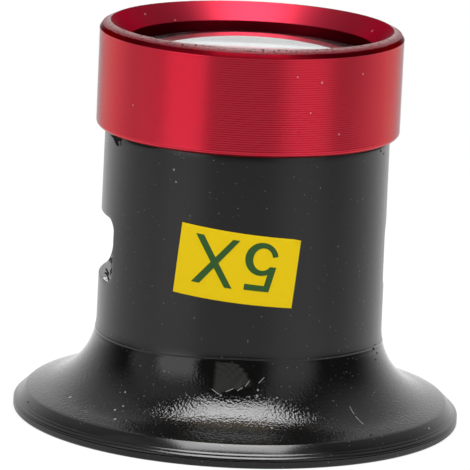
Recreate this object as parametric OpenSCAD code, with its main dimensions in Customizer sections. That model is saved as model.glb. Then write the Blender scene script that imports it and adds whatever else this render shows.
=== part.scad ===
// Watchmaker loupe: a moulded eye cup and tube, with a screw-on metal ring that holds the lens.
// Millimetres, +Z up. The eye cup stands on z = 0, the axis of the tube is the Z axis,
// and the front, where the label is, faces -Y.

/* [Eye cup] */
// Widest diameter of the flared eye cup
cup_d = 42; // [40.5:0.5:46]
// Height of the upright edge round the rim
rim_h = 0.85; // [0.5:0.05:1.3]
// Width of the flat rim that the loupe stands on
rim_w = 1.6; // [0.8:0.05:1.9]
// Width of the broad chamfer between the upright edge and the brim
ridge_in = 1.15; // [0.6:0.05:1.4]
// Radius of the concave flare
flare_r = 7; // [5.5:0.25:8]
// Height at which the flare meets the tube
flare_top = 9.1; // [8.6:0.1:11]
// Slope of the brim outside the flare, in degrees
brim_slope = 17.5; // [10:0.5:22]

/* [Tube] */
// Outside diameter of the tube just above the flare
tube_d = 26.9; // [26.6:0.1:28]
// Draft of the tube, in degrees
tube_draft = 0.4; // [0:0.1:0.6]
// Wall thickness of tube and eye cup
wall = 1.3; // [1.1:0.05:1.7]
// Height of the shoulder that the lens ring stops on
shoulder_z = 27.25; // [25:0.05:33]

/* [Vents] */
// Length of each air vent, round the tube
vent_l = 11.1; // [7:0.1:13]
// Height of each air vent
vent_h = 6.05; // [4.5:0.05:8]
// Radius of the vents' corners
vent_corner = 1.3; // [0.5:0.1:2]
// Height of the vents' centre line
vent_z = 16.15; // [14:0.05:20]
// Direction of the left vent, in degrees from +X
vent_left_az = 181.5; // [170:0.5:195]
// Direction of the right vent, in degrees from +X
vent_right_az = 17; // [-10:0.5:25]

/* [Neck and thread] */
// How much wider the thread's bore is than the lens seat, so that the lens passes through it
lens_pass = 0.2; // [0.1:0.05:0.3]
// Wall of the neck under its thread
neck_wall = 1.2; // [0.9:0.05:1.6]
// Gap between the top of the neck and the snap ring
neck_gap = 0.35; // [0.25:0.05:0.8]
// Pitch of the thread
pitch = 1; // [0.8:0.05:1.25]
// Height of the thread's first turn above the shoulder
thread_start = 1.2; // [1:0.05:1.3]
// Clearance of the thread along the axis, on each flank
thread_gap = 0.08; // [0.06:0.01:0.09]
// Clearance between root and crest
root_gap = 0.1; // [0.08:0.01:0.12]

/* [Lens ring] */
// Outside diameter of the ring
ring_d = 28.42; // [28:0.02:31]
// Height of the ring
ring_h = 9.9; // [9.5:0.05:12]
// Gap between the ring and the shoulder when it is screwed home
seat_gap = 0.05; // [0.02:0.01:0.1]
// Radius of the ring's lower outer edge
ring_edge_r = 0.5; // [0.2:0.05:0.7]
// Diameter of the sharp edge round the top of the mouth
mouth_d = 26.5; // [25.5:0.1:27]
// Width of the worn slope outside the mouth's edge
rim_slope_w = 0.7; // [0.3:0.05:0.8]
// Drop of the worn slope outside the mouth's edge
rim_slope_h = 0.34; // [0.1:0.02:0.45]
// Height of the corner where the ring's side begins, below its top
corner_drop = 0.75; // [0.5:0.05:1.2]
// Diameter of the sight hole
sight_d = 22.76; // [21.5:0.1:23.2]
// Depth of the cone from the top edge to the sight hole
mouth_depth = 1.61; // [1:0.05:2]
// Length of the sight hole's straight wall
lip_t = 0.95; // [0.7:0.05:1.3]
// Height of the plain entry below the ring's thread
entry_h = 0.7; // [0.4:0.05:0.9]

/* [Lens] */
// Diameter of the lens
lens_d = 24.4; // [23.6:0.1:24.7]
// Radius of its two curved faces
lens_r = 52.3; // [40:0.5:70]
// Thickness of the lens at its edge
lens_edge = 1.2; // [1:0.05:1.35]
// Bevel ground on the lens's edges
lens_bevel = 0.15; // [0.1:0.05:0.25]
// Clearance round the lens and below the lip
lens_gap = 0.1; // [0.06:0.01:0.12]

/* [Snap ring] */
// Thickness of the spring wire
wire_d = 0.9; // [0.7:0.05:1]
// Depth of the groove that the wire is sprung into
groove_depth = 0.45; // [0.3:0.05:0.5]
// Gap between the wire's ends, in degrees
wire_open = 26; // [15:1:60]
// Clearance of the wire in its groove
wire_gap = 0.03; // [0.02:0.01:0.05]

/* [Label] */
// Width of the label, round the tube
label_w = 11.1; // [8:0.1:14]
// Height of the label
label_h = 6.5; // [4:0.1:8]
// Thickness of the label
label_t = 0.12; // [0.08:0.01:0.3]
// Direction of the label, in degrees from +X
label_az = -92.5; // [-110:0.5:-70]
// Height of the label's centre
label_z = 16.9; // [15:0.1:20]
// How far the label leans, in degrees
label_lean = -5.5; // [-15:0.5:15]

/* [Hidden] */
// Facets of a full circle, where a mesh is made of it, and steps in a turn of thread
smooth = 144;
thread_steps = 40;
// A hair, and a length that runs clear of the part
eps = 0.01;
over = 2;

// Eye cup and tube
rim_chamfer = 0.15;
cup_r = cup_d / 2;
tube_r = tube_d / 2;
flare_c = [tube_r + flare_r, flare_top];
shoulder_r = tube_radius(shoulder_z);

// The lens ring seats on the shoulder, and its lip is the stop of all that is inside
ring_z = shoulder_z + seat_gap;
ring_r = ring_d / 2;
ring_top = ring_z + ring_h;
sight_r = sight_d / 2;
lip_z = ring_top - mouth_depth - lip_t;

// The lens hangs just below the lip, and the snap ring just below the lens
lens_rad = lens_d / 2;
lens_top = lip_z - lens_gap / 2 + sag(sight_r);
lens_edge_top = lens_top - sag(lens_rad);
lens_edge_low = lens_edge_top - lens_edge;
lens_low = lens_edge_low - sag(lens_rad);
lens_bore_r = lens_rad + lens_gap;
wire_z = lens_edge_low - wire_gap - wire_d / 2;
wire_groove_r = lens_bore_r + groove_depth;
wire_groove_h = wire_d + 2 * wire_gap;
wire_r = wire_groove_r - wire_gap - wire_d / 2;

// The thread is a shallow one with flanks at 30 degrees, its depth and crest set by its pitch.
// The ring's entry and its relief above the thread are a little wider than the groove.
flank = tan(30);
thread_depth = 0.4 * pitch;
crest_w = 0.2 * pitch;
ridge_bite = 0.1 * pitch;
bore_r = lens_bore_r + lens_pass;
neck_r = bore_r - root_gap;
crest_r = neck_r + thread_depth;
groove_r = crest_r + root_gap;
clear_r = groove_r + root_gap;

// The neck ends below the snap ring, and its thread ends below the chamfer of the neck
neck_chamfer = 0.3;
neck_top = wire_z - wire_d / 2 - neck_gap;
ridge_half = crest_w / 2 + (thread_depth + ridge_bite) * flank;
thread_z = shoulder_z + thread_start;
thread_turns = (neck_top - neck_chamfer - ridge_half - thread_z) / pitch;

// The ring's groove begins a turn below the neck's thread and ends in a relief above it
groove_lead = 1;
groove_tail = 0.3;
relief_top = neck_top + root_gap;
relief_h = 0.5;

// The angle over which the thread's crest fades in and out, and its least share there
fade = 45;
fade_least = 0.05;

// Radius of the tube's outside at a height
function tube_radius(z) = tube_r - (z - flare_top) * tan(tube_draft);

// Depth of the lens's curve at a radius
function sag(r) = lens_r - sqrt(lens_r * lens_r - r * r);

// A point on the flare's arc, moved inwards by the wall; the angle runs down from the tube
function flare_point(inset, a) =
    flare_c - (flare_r + inset) * [cos(a), sin(a)];

// Outside of tube and cup for inset 0, and their hollow for inset = wall
module cup_outline(inset) {
    brim = flare_point(inset, 90 - brim_slope);
    edge_r = inset > 0 ? cup_r - rim_chamfer - rim_w : cup_r - ridge_in;
    edge_z = brim[1] - (edge_r - brim[0]) * tan(brim_slope);
    difference() {
        polygon([
            [0, inset > 0 ? -over : 0],
            each inset > 0
                ? [[edge_r, -over], [edge_r, edge_z]]
                : [[cup_r - rim_chamfer, 0], [cup_r, rim_chamfer], [cup_r, rim_h], [edge_r, edge_z]],
            brim,
            flare_point(inset, 0),
            [shoulder_r - inset, shoulder_z - (inset > 0 ? wall : 0)],
            [0, shoulder_z - (inset > 0 ? wall : 0)]
        ]);
        translate(flare_c) circle(flare_r + inset, $fn = smooth);
    }
}

// The neck's outline above the shoulder, chamfered so that the ring starts easily
module neck_outline() {
    polygon([
        [0, shoulder_z - wall / 2],
        [neck_r, shoulder_z - wall / 2],
        [neck_r, neck_top - neck_chamfer],
        [neck_r - neck_chamfer, neck_top],
        [0, neck_top]
    ]);
}

// The hollow of the neck, opening downwards into the tube
module neck_hollow() {
    inner = neck_r - neck_wall;
    wide = shoulder_r - wall;
    polygon([
        [0, shoulder_z - wall - eps],
        [wide, shoulder_z - wall - eps],
        [inner, shoulder_z - wall + (wide - inner)],
        [inner, neck_top + over],
        [0, neck_top + over]
    ]);
}

// A helical ridge with a flat crest, from one turn to another. Its ends may fade out.
module helix(inner, root, crest, width, from, to, fading) {
    n = ceil((to - from) * thread_steps);
    step = (to - from) * 360 / n;
    rings = [
        for (i = [0:n])
            let (
                a = from * 360 + i * step,
                grown = fading ? min(1, max(fade_least, min(i, n - i) * step / fade)) : 1,
                top = root + (crest - root) * grown,
                mid = thread_z + pitch * a / 360,
                half_top = width / 2,
                half_in = half_top + (top - inner) * flank
            )
            each [
                [inner * cos(a), inner * sin(a), mid - half_in],
                [top * cos(a), top * sin(a), mid - half_top],
                [top * cos(a), top * sin(a), mid + half_top],
                [inner * cos(a), inner * sin(a), mid + half_in]
            ]
    ];
    sides = [
        for (i = [0:n - 1], k = [0:3])
            let (a = 4 * i + k, b = 4 * i + (k + 1) % 4)
            each [[a, b, b + 4], [a, b + 4, a + 4]]
    ];
    last = 4 * n;
    polyhedron(
        points = rings,
        faces = concat(
            sides,
            [[3, 2, 1], [3, 1, 0]],
            [[last, last + 1, last + 2], [last, last + 2, last + 3]]
        )
    );
}

// A hole with round corners through the wall, running out from the Z axis along a direction
module vent(az) {
    rotate([0, 0, az])
        translate([tube_r / 2, 0, vent_z])
            rotate([90, 0, 90])
                linear_extrude(tube_r) {
                    square([vent_l - 2 * vent_corner, vent_h], center = true);
                    square([vent_l, vent_h - 2 * vent_corner], center = true);
                    for (side = [-1, 1], end = [-1, 1])
                        translate([side * (vent_l / 2 - vent_corner), end * (vent_h / 2 - vent_corner)])
                            circle(vent_corner, $fn = smooth / 2);
                }
}

// Tube, neck and flared cup are one moulding
module eye_cup() {
    color([0.09, 0.09, 0.095])
        difference() {
            union() {
                rotate_extrude($fn = smooth) {
                    cup_outline(0);
                    neck_outline();
                }
                helix(neck_r - ridge_bite, neck_r, crest_r, crest_w, 0, thread_turns, true);
            }
            rotate_extrude($fn = smooth) {
                cup_outline(wall);
                neck_hollow();
            }
            vent(vent_left_az);
            vent(vent_right_az);
        }
}

// The ring's section, from the entry at its foot up to the cone of its mouth
module ring_outline() {
    difference() {
        union() {
            polygon([
                [0, ring_z],
                [ring_r - ring_edge_r, ring_z],
                [ring_r - ring_edge_r, ring_z + ring_edge_r],
                [ring_r, ring_z + ring_edge_r],
                [ring_r, ring_top - corner_drop],
                [mouth_d / 2 + rim_slope_w, ring_top - rim_slope_h],
                [mouth_d / 2, ring_top],
                [sight_r, ring_top - mouth_depth],
                [sight_r, lip_z],
                [0, lip_z]
            ]);
            translate([ring_r - ring_edge_r, ring_z + ring_edge_r])
                circle(ring_edge_r, $fn = smooth / 3);
        }
        polygon([
            [0, ring_z - over],
            [clear_r, ring_z - over],
            [clear_r, ring_z + entry_h],
            [bore_r, ring_z + entry_h + clear_r - bore_r],
            [bore_r, relief_top - relief_h],
            [clear_r, relief_top - relief_h],
            [clear_r, relief_top],
            [lens_bore_r, relief_top],
            [lens_bore_r, wire_z - wire_groove_h / 2],
            [wire_groove_r, wire_z - wire_groove_h / 2],
            [wire_groove_r, wire_z + wire_groove_h / 2],
            [lens_bore_r, wire_z + wire_groove_h / 2],
            [lens_bore_r, lip_z],
            [0, lip_z]
        ]);
    }
}

// The turned metal ring, threaded inside to match the neck
module lens_ring() {
    color([0.72, 0.06, 0.14])
        difference() {
            rotate_extrude($fn = smooth) ring_outline();
            helix(bore_r - ridge_bite, bore_r, groove_r, crest_w + 2 * thread_gap,
                  -groove_lead, thread_turns + groove_tail, false);
        }
}

// A glass lens, curved alike on both sides, with a ground bevel on each edge
module lens() {
    color([0.8, 0.9, 0.92, 0.4])
        rotate_extrude($fn = smooth)
            intersection() {
                translate([0, lens_top - lens_r]) circle(lens_r, $fn = smooth * 3);
                translate([0, lens_low + lens_r]) circle(lens_r, $fn = smooth * 3);
                polygon([
                    [0, lens_low - eps],
                    [lens_rad - sag(lens_rad) - lens_bevel, lens_low - eps],
                    [lens_rad - lens_bevel, lens_edge_low],
                    [lens_rad, lens_edge_low + lens_bevel],
                    [lens_rad, lens_edge_top - lens_bevel],
                    [lens_rad - lens_bevel, lens_edge_top],
                    [lens_rad - sag(lens_rad) - lens_bevel, lens_top + eps],
                    [0, lens_top + eps]
                ]);
            }
}

// An open ring of spring wire, sprung into the groove under the lens
module snap_ring() {
    color([0.7, 0.7, 0.72])
        rotate([0, 0, 90 + wire_open / 2])
            rotate_extrude(angle = 360 - wire_open, $fn = smooth)
                translate([wire_r, wire_z]) circle(d = wire_d, $fn = 24);
}

// A sticker wrapped round the front of the tube
module label() {
    low = label_z - label_h;
    high = label_z + label_h;
    color([0.89, 0.77, 0.08])
        intersection() {
            translate([0, 0, low])
                difference() {
                    cylinder(h = high - low, r1 = tube_radius(low) + 2 * eps + label_t,
                             r2 = tube_radius(high) + 2 * eps + label_t, $fn = smooth);
                    translate([0, 0, -eps])
                        cylinder(h = high - low + 2 * eps, r1 = tube_radius(low) + 2 * eps,
                                 r2 = tube_radius(high) + 2 * eps, $fn = smooth);
                }
            rotate([0, 0, label_az])
                translate([0, 0, label_z])
                    rotate([label_lean, 0, 0])
                        translate([tube_r / 2, -label_w / 2, -label_h / 2])
                            cube([tube_r, label_w, label_h]);
        }
}

eye_cup();
lens_ring();
lens();
snap_ring();
label();
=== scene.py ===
# %% [markdown]
# # A watchmaker's loupe, modelled step by step
# The loupe is a black moulded eye cup with a tube, a red metal ring that screws on its neck, a round lens
# under the ring's lip and a small yellow label. The CAD model says what moves, and the main sizes here
# repeat its own. Here each piece gets its fine forms (turning marks, moulding flash, scored lines) and its
# finish. The frame is loaded first, because it brings the bodies that the new pieces ride on.

# %% Load the frame
import math
import bmesh
import bpy
import numpy as np
from mathutils import Matrix, Vector


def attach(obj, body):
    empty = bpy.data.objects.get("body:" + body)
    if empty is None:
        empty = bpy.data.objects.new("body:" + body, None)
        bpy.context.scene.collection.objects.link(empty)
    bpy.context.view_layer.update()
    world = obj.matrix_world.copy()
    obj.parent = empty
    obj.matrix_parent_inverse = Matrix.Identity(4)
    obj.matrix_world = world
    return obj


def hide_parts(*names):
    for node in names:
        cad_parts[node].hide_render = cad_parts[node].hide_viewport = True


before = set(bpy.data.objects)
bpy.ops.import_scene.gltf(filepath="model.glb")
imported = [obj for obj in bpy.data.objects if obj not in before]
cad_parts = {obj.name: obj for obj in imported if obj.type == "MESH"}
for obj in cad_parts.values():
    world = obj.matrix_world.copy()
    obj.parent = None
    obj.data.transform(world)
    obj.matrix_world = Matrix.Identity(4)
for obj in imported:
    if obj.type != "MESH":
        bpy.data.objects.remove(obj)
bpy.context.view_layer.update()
MM = 0.001

# %% [markdown]
# ## The camera
# The photograph was taken from about 12 degrees above the table with a long lens, with a slight roll. The
# camera was worked out from the ellipses of the rim and ring, so it is written down as its place and two of
# its axes, and the third follows from them.

# %% Camera
CAMERA_PLACE = Vector((-0.000747, -0.435715, 0.110897))
CAMERA_RIGHT = Vector((0.998971, 0.009549, 0.044346))
CAMERA_AHEAD = Vector((0.0, 0.977592, -0.210509))
SENSOR_WIDTH, FOCAL_LENGTH = 36, 363.2
camera_up = CAMERA_RIGHT.cross(CAMERA_AHEAD)
camera_data = bpy.data.cameras.new("camera")
camera_data.sensor_width = SENSOR_WIDTH
camera_data.lens = FOCAL_LENGTH
camera = bpy.data.objects.new("camera", camera_data)
bpy.context.collection.objects.link(camera)
turn = Matrix((CAMERA_RIGHT, camera_up, -CAMERA_AHEAD)).transposed().to_4x4()
camera.matrix_world = Matrix.Translation(CAMERA_PLACE) @ turn
bpy.context.scene.camera = camera
print("camera looks along", CAMERA_AHEAD[:])

# %% [markdown]
# ## Drawing a half section
# Most of the loupe is round about one axis, so most of its pieces start as half a section, drawn in the
# plane of X and Z as a lathe worker would draw it. The helpers here give the points of arcs, round the
# corners and fill long runs with points, so that fine detail has something to move later. Sizes are in
# millimetres.

# %% Points of a half section
def arc(centre, radius, start, end, count):
    """Points on an arc from one direction to another, in degrees."""
    turns = [math.radians(start + (end - start) * i / count) for i in range(count + 1)]
    return [(centre[0] + radius * math.cos(a), centre[1] + radius * math.sin(a)) for a in turns]


def rounded(corners, segments=3):
    """An outline through corners (r, z, rounding), each corner eased by its own radius."""
    outline = []
    for i, (r, z, easing) in enumerate(corners):
        corner = np.array((r, z))
        if not easing:
            outline.append((r, z))
            continue
        before = np.array(corners[i - 1][:2]) - corner
        after = np.array(corners[(i + 1) % len(corners)][:2]) - corner
        before /= np.linalg.norm(before)
        after /= np.linalg.norm(after)
        half = math.acos(np.clip(before @ after, -1, 1)) / 2
        middle = corner + (before + after) / np.linalg.norm(before + after) * easing / math.sin(half)
        ends = [corner + side * easing / math.tan(half) - middle for side in (before, after)]
        for step in range(segments + 1):
            share = step / segments
            spoke = ends[0] * (1 - share) + ends[1] * share
            outline.append(tuple(middle + spoke / np.linalg.norm(spoke) * easing))
    return outline


def filled(run, gap):
    """The run with extra points, so that none lie further apart than gap."""
    result = [run[0]]
    for (r0, z0), (r1, z1) in zip(run, run[1:]):
        count = max(1, math.ceil(math.hypot(r1 - r0, z1 - z0) / gap - 1e-6))
        result += [(r0 + (r1 - r0) * i / count, z0 + (z1 - z0) * i / count) for i in range(1, count + 1)]
    return result


# %% [markdown]
# ## Turning the section into a solid
# A plane is merged to one vertex, which is pulled out point by point round the section. Spin then carries
# the section round the axis, the seam is merged and the faces are turned outwards. This is how a lathe
# shape is made by hand in Blender, and it leaves clean rings of faces that follow the real turning marks.

# %% Draw and spin
ROUND = 240
HAIR = 1e-6


def nothing_selected():
    if bpy.context.object and bpy.context.object.mode != "OBJECT":
        bpy.ops.object.mode_set(mode="OBJECT")
    bpy.ops.object.select_all(action="DESELECT")


def named(name):
    piece = bpy.context.object
    piece.name = name
    piece.data.name = name
    return piece


def faced_out(piece):
    """Turns a closed piece's faces outwards, which its volume tells for sure."""
    bpy.ops.object.mode_set(mode="EDIT")
    bpy.ops.mesh.select_all(action="SELECT")
    bpy.ops.mesh.normals_make_consistent(inside=False)
    if bmesh.from_edit_mesh(piece.data).calc_volume(signed=True) < 0:
        bpy.ops.mesh.flip_normals()
    bpy.ops.object.mode_set(mode="OBJECT")


def spun(name, outline, closed=True):
    """A round piece from a half section of (r, z) points in millimetres."""
    nothing_selected()
    bpy.ops.mesh.primitive_plane_add(size=MM, location=(0, 0, 0))
    piece = named(name)
    bpy.ops.object.mode_set(mode="EDIT")
    bpy.ops.mesh.merge(type="CENTER")
    r, z = outline[0]
    bpy.ops.transform.translate(value=(r * MM, 0, z * MM))
    route = outline + outline[:1] if closed else outline
    for (r0, z0), (r1, z1) in zip(route, route[1:]):
        step = ((r1 - r0) * MM, 0, (z1 - z0) * MM)
        bpy.ops.mesh.extrude_region_move(TRANSFORM_OT_translate={"value": step})
    bpy.ops.mesh.select_all(action="SELECT")
    bpy.ops.mesh.remove_doubles(threshold=HAIR)
    bpy.ops.mesh.spin(steps=ROUND, angle=2 * math.pi, center=(0, 0, 0), axis=(0, 0, 1))
    bpy.ops.mesh.select_all(action="SELECT")
    bpy.ops.mesh.remove_doubles(threshold=HAIR)
    bpy.ops.object.mode_set(mode="OBJECT")
    faced_out(piece)
    print(name, len(piece.data.vertices), "vertices")
    return piece


def selected(*pieces):
    """Selects these pieces alone and makes the first of them active."""
    nothing_selected()
    for piece in pieces:
        piece.select_set(True)
    bpy.context.view_layer.objects.active = pieces[0]


def merged(name, pieces):
    selected(*pieces)
    bpy.ops.object.join()
    return named(name)


def smoothed(piece, angle):
    selected(piece)
    bpy.ops.object.shade_smooth_by_angle(angle=math.radians(angle))


def places(piece):
    """The vertices of a piece as an array, in millimetres."""
    flat = np.empty(len(piece.data.vertices) * 3)
    piece.data.vertices.foreach_get("co", flat)
    return flat.reshape(-1, 3) / MM


def put_places(piece, points):
    piece.data.vertices.foreach_set("co", (points * MM).astype(np.float32).ravel())
    piece.data.update()


def put_attribute(piece, name, values):
    layer = piece.data.attributes.new(name, "FLOAT", "POINT")
    layer.data.foreach_set("value", np.asarray(values, dtype=np.float32))


# %% [markdown]
# ## The thread
# A thread is a groove or ridge that climbs one pitch each turn. The fine rings of faces on the neck and in
# the lens ring are moved outwards by how near they lie to the helix: a ridge on the neck and a groove in
# the ring. The thread stays one skin with its piece, and its ends fade out as a real thread runs out.

# %% Thread height by place
PITCH = 1.0
THREAD_START = 28.45
FLANK = math.tan(math.radians(30))
THREAD_DEPTH = 0.4
NECK_CREST, NECK_TURNS = 0.2, (0, 2.78)
RING_CREST, RING_TURNS = 0.36, (-1, 3.08)


def thread_height(points, crest, depth, first, last):
    """How far a thread stands at each point, for turns from first to last, with fading ends."""
    share = (np.degrees(np.arctan2(points[:, 1], points[:, 0])) % 360) / 360
    height = np.zeros(len(points))
    for whole in range(math.floor(first), math.ceil(last) + 1):
        turns = whole + share
        fade = np.clip(np.minimum(turns - first, last - turns) * 8, 0, 1)
        away = np.abs(points[:, 2] - THREAD_START - PITCH * turns)
        height = np.maximum(height, fade * np.clip(depth - (away - crest / 2) / FLANK, 0, depth))
    return height


# %% [markdown]
# ## The eye cup's section
# The cup, tube and neck are one moulding. Outside, it goes from the flat that sits on the brow over an
# upright edge and a broad chamfer to the brim, sweeps up the flare into the tube, steps in at the shoulder
# and ends in the neck. Fine lines are scored where the photograph shows them, one in the upright edge and
# two in the chamfer. Inside, the section follows at a wall's thickness. Points lie close where the mould's
# parting line and the thread go.

# %% Eye cup outline
FLARE_CENTRE = (20.45, 9.1)
FLARE_R = 7.0
WALL = 1.3
PARTING = (198.5, 181.0)
CUP_R, RIM_IN, RIM_OUT = 21, 19.25, 20.85
EDGE_LOW, EDGE_TOP = 0.4, 0.82
CHAMFER_LOW, CHAMFER_TOP = (20.97, 0.88), (19.93, 1.875)
RIDGE = (19.85, 1.95)
BRIM_TOP, BRIM_ANGLE, BRIM_SLOPE = (18.345, 2.424), 252.5, 17.5
TUBE_FOOT, TUBE_TOP = (13.45, 9.1), (13.323, 27.25)
SHOULDER_Z = TUBE_TOP[1]
NECK_R, NECK_BORE_R, NECK_TOP = 12.4, 11.2, 31.92
NECK_THREAD_FROM, NECK_THREAD_TO, NECK_STEP = 27.85, 31.5, 0.046
TUBE_BORE = [(12.023, 25.95, 0.1), (12.15, 9.1, 0)]


def joined(*runs):
    """One outline from several runs, without doubled points."""
    outline = []
    for point in [point for run in runs for point in run]:
        if not outline or math.dist(point, outline[-1]) > 0.003:
            outline.append(point)
    return outline


def scored(start, end, *lines):
    """A straight run with lines scored into it, each (distance from the start, half width, depth)."""
    start, end = np.array(start), np.array(end)
    way = (end - start) / np.linalg.norm(end - start)
    inwards = np.array((-way[1], way[0]))
    run = [tuple(start)]
    for along, half, deep in lines:
        for side, depth in ((-1, 0), (0, deep), (1, 0)):
            run.append(tuple(start + way * (along + side * half) + inwards * depth))
    return run + [tuple(end)]


lip = rounded([(RIM_IN, 0.775, 0), (RIM_IN, 0, 0.08), (RIM_OUT, 0, 0.06), (CUP_R, 0.15, 0.1),
               (CUP_R, EDGE_LOW, 0)])
edge_face = scored((CUP_R, EDGE_LOW), (CUP_R, EDGE_TOP), (0.27, 0.045, 0.06))
chamfer = scored(CHAMFER_LOW, CHAMFER_TOP, (0.27, 0.035, 0.02), (0.55, 0.04, 0.012))
brim = rounded([CHAMFER_TOP + (0,), RIDGE + (0.06,), BRIM_TOP + (0,)])
flare = arc(FLARE_CENTRE, FLARE_R, BRIM_ANGLE, PARTING[0], 40)
parting = arc(FLARE_CENTRE, FLARE_R, *PARTING, 42)
shoulder = rounded([TUBE_FOOT + (0,), TUBE_TOP + (0.1,), (NECK_R, SHOULDER_Z, 0.04),
                    (NECK_R, NECK_THREAD_FROM, 0)])
neck = filled([(NECK_R, NECK_THREAD_FROM), (NECK_R, NECK_THREAD_TO)], NECK_STEP)
neck_end = rounded([(NECK_R, NECK_THREAD_TO, 0), (NECK_R, 31.62, 0.03), (12.1, NECK_TOP, 0.06),
                    (NECK_BORE_R, NECK_TOP, 0.1), (NECK_BORE_R, 26.773, 0.05), *TUBE_BORE])
hollow = arc(FLARE_CENTRE, FLARE_R + WALL, 180, BRIM_ANGLE, 36)
cup_outline = joined(lip, edge_face, chamfer, filled(brim, 0.25), flare, parting, filled(shoulder, 0.6),
                     neck, filled(neck_end, 1.2), hollow)
print("eye cup section:", len(cup_outline), "points")

# %% [markdown]
# ## The eye cup
# The section is spun, the thread raised on the neck, and the parting line of the mould worked in. A shallow
# ditch with a raised hair of plastic beside it runs round just below the tube, a little higher at the
# front. Moving the fine rings by their distance from that line gives it.

# %% Spin the eye cup and raise its details
LINE_PLACES = [(-180, 7.8), (-132, 7.9), (-91, 8.37), (-60, 8.17), (-38, 8.09), (-17, 7.89), (0, 7.53),
               (180, 7.8)]
DITCH_DEPTH, DITCH_WIDTH = 0.035, 0.11
HAIR_HEIGHT, HAIR_WIDTH = 0.03, 0.05


def parting_height(points):
    """Height of the parting line in the direction of each point."""
    turn = np.degrees(np.arctan2(points[:, 1], points[:, 0]))
    return np.interp(turn, *zip(*LINE_PLACES))


def hump(away, width):
    return np.exp(-(away / width) ** 2)


def ripple(points, *waves):
    """A smooth uneven value from -1 to 1 round the axis, from a few waves (count, phase)."""
    turn = np.arctan2(points[:, 1], points[:, 0])
    return sum(np.sin(count * turn + phase) for count, phase in waves) / len(waves)


eye_cup = spun("eye_cup_shell", cup_outline)
points = places(eye_cup)
radius = np.hypot(points[:, 0], points[:, 1])
outwards = points[:, :2] / radius[:, None]
on_neck = (np.abs(radius - NECK_R) < 0.01) & (points[:, 2] > 27.75) & (points[:, 2] < 31.56)
growth = np.where(on_neck, thread_height(points, NECK_CREST, THREAD_DEPTH, *NECK_TURNS), 0)
above = points[:, 2] - parting_height(points)
on_flare = (points[:, 2] > 6.2) & (points[:, 2] < 9.09) & (radius > FLARE_CENTRE[0] - 7.3)
uneven = 0.75 + 0.25 * ripple(points, (37, 0.4), (61, 2.0), (97, 4.1))
line = HAIR_HEIGHT * uneven * hump(above - 0.1, HAIR_WIDTH) - DITCH_DEPTH * hump(above + 0.06, DITCH_WIDTH)
growth += np.where(on_flare, line, 0)
points[:, :2] += outwards * growth[:, None]
put_places(eye_cup, points)
print("thread raised on", int(on_neck.sum()), "vertices")

# %% [markdown]
# ## The air vents
# Two slots with round corners through the tube's wall let moist air out. Each is cut with a solid: a circle
# of points is laid round the slot's outline and extruded through the wall. Near the skin the cutter opens
# like a trumpet that follows the tube's curve, so the cut edge comes out slightly rounded, as moulded edges
# are.

# %% Cut the vents
VENT_HALF, VENT_CORNER, VENT_Z = np.array((5.55, 3.025)), 1.3, 16.15
VENT_TURNS = (181.5, 17)
VENT_EDGE, VENT_POINTS = 0.12, 144
TUBE_DRAFT = (TUBE_FOOT[0] - TUBE_TOP[0]) / (TUBE_TOP[1] - TUBE_FOOT[1])


def tube_radius(height):
    return TUBE_FOOT[0] - (height - TUBE_FOOT[1]) * TUBE_DRAFT


def slot_outline(count):
    """Points at even steps round a vent's outline, seen from outside."""
    turns = np.radians(np.arange(361))
    spokes = np.round(np.stack((np.cos(turns), np.sin(turns)), 1), 9)
    corners = np.sign(spokes) * (VENT_HALF - VENT_CORNER) + spokes * VENT_CORNER
    way = np.concatenate(([0], np.cumsum(np.linalg.norm(np.diff(corners, axis=0), axis=1))))
    steps = np.arange(count) * way[-1] / count
    return np.stack([np.interp(steps, way, corners[:, k]) for k in (0, 1)], 1)


def vent_cutter(direction):
    nothing_selected()
    bpy.ops.mesh.primitive_circle_add(vertices=VENT_POINTS, radius=MM, location=(0, 0, 0))
    cutter = named("vent_cutter")
    outline = places(cutter)
    outline[:, :2] = slot_outline(VENT_POINTS)
    put_places(cutter, outline)
    rings = [(-6, 0), (-VENT_EDGE, 0)]
    for a in np.radians((20, 40, 60, 75)):
        rings.append((VENT_EDGE * (math.sin(a) - 1), VENT_EDGE * (1 - math.cos(a))))
    rings += [(0.4, VENT_EDGE + 1.0), (4, VENT_EDGE + 1.0)]
    bpy.ops.object.mode_set(mode="EDIT")
    bpy.ops.mesh.select_all(action="SELECT")
    bpy.ops.mesh.edge_face_add()
    for _ in rings[1:]:
        bpy.ops.mesh.extrude_region_move(TRANSFORM_OT_translate={"value": (0, 0, MM)})
    bpy.ops.object.mode_set(mode="OBJECT")
    points = places(cutter)
    level = np.rint(points[:, 2]).astype(int)
    depth, grow = np.array(rings).T
    beyond = np.abs(points[:, :2]) - (VENT_HALF - VENT_CORNER)
    spoke = np.clip(beyond, 0, None) * np.sign(points[:, :2]) / VENT_CORNER
    across = points[:, 0] + spoke[:, 0] * grow[level]
    height = VENT_Z + points[:, 1] + spoke[:, 1] * grow[level]
    skin = np.sqrt(np.clip(tube_radius(height) ** 2 - across ** 2, 1, None))
    out = np.select((level == 0, level == len(rings) - 1), (7.0, 17.0), skin + depth[level])
    a = math.radians(direction)
    points[:, 0] = out * math.cos(a) - across * math.sin(a)
    points[:, 1] = out * math.sin(a) + across * math.cos(a)
    points[:, 2] = height
    put_places(cutter, points)
    faced_out(cutter)
    return cutter


def cut(piece, cutter):
    nothing_selected()
    bpy.context.view_layer.objects.active = piece
    slot = piece.modifiers.new("cut", "BOOLEAN")
    slot.operation = "DIFFERENCE"
    slot.solver = "EXACT"
    slot.object = cutter
    bpy.ops.object.modifier_apply(modifier="cut")
    bpy.data.objects.remove(cutter)


for direction in VENT_TURNS:
    cut(eye_cup, vent_cutter(direction))
smoothed(eye_cup, 40)
print("eye cup:", len(eye_cup.data.polygons), "faces")

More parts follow.
